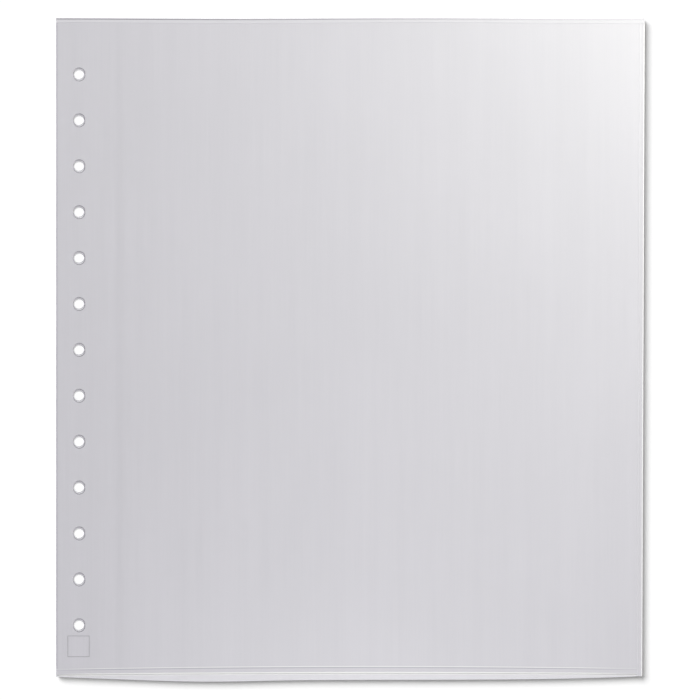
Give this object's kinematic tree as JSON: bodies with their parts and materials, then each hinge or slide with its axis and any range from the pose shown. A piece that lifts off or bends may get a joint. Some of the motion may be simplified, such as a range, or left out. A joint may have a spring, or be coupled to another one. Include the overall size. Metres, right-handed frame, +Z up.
{
  "type": "sheet protector",
  "caption": "Flat clear plastic pocket page, welded on three sides and open at one end, with a margin punched for binder rings.",
  "frame": {"origin": "centre of the bounding box, on the plane that the back film lies on", "axes": "+X from the punched margin to the outer side, +Y from the open mouth to the welded head, +Z up out of the front film"},
  "size_m": [0.3258, 0.3672, 0.0007],
  "materials": {
    "clear_film": "clear polypropylene film with a faint lavender haze and a fine grain along its length",
    "welded_seam": "two film layers fused and pressed, a little lighter than the film",
    "folded_hem": "film folded on itself, with a bright edge at the fold"
  },
  "bodies": {
    "margin": {"margin_back_ply": "clear_film", "margin_front_ply": "clear_film", "margin_hem": "folded_hem", "margin_head_weld": "welded_seam", "binding_weld": "welded_seam"},
    "leaf": {"back_film": "clear_film", "front_film": "clear_film", "head_weld": "welded_seam", "outer_weld": "welded_seam"},
    "mouth": {"mouth_hem": "folded_hem"}
  },
  "joints": [
    {"name": "leaf_flex", "type": "hinge", "parent": "margin", "child": "leaf", "pos_m": [-0.12635, 0, 0.00035], "axis": [0, -1, 0], "range_deg": [-90, 90]},
    {"name": "mouth_lift", "type": "slide", "parent": "leaf", "child": "mouth", "axis": [0, 0, 1], "range_m": [0, 0.015], "stiffness_N_per_m": 1}
  ]
}
